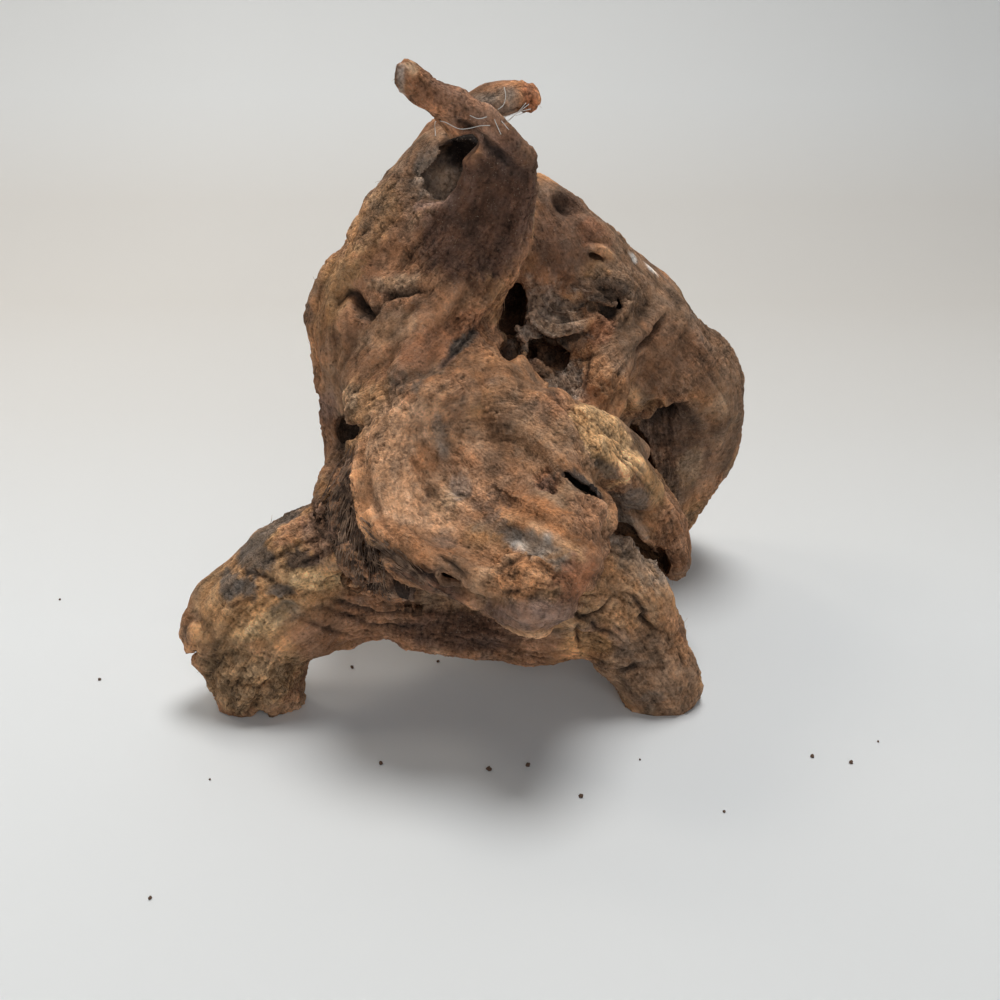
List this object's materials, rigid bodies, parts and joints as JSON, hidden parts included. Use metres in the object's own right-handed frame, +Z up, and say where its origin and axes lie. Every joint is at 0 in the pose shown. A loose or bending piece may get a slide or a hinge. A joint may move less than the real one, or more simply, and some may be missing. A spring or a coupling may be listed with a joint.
{
  "type": "driftwood root",
  "caption": "Gnarled piece of water-worn root wood that stands as a tripod, with a blunt trunk stub in front, an open arch below and twisted horns on top.",
  "frame": {"origin": "on the surface the root stands on, below the middle of its outline", "axes": "+Z up, -Y the front, where the blunt stub of the trunk points, and +X to the right as seen from the front"},
  "size_m": [0.214, 0.1942, 0.2141],
  "materials": {
    "wood": "weathered, dry, fibrous and matte"
  },
  "bodies": {
    "root": {"driftwood_root": "wood"}
  },
  "joints": []
}
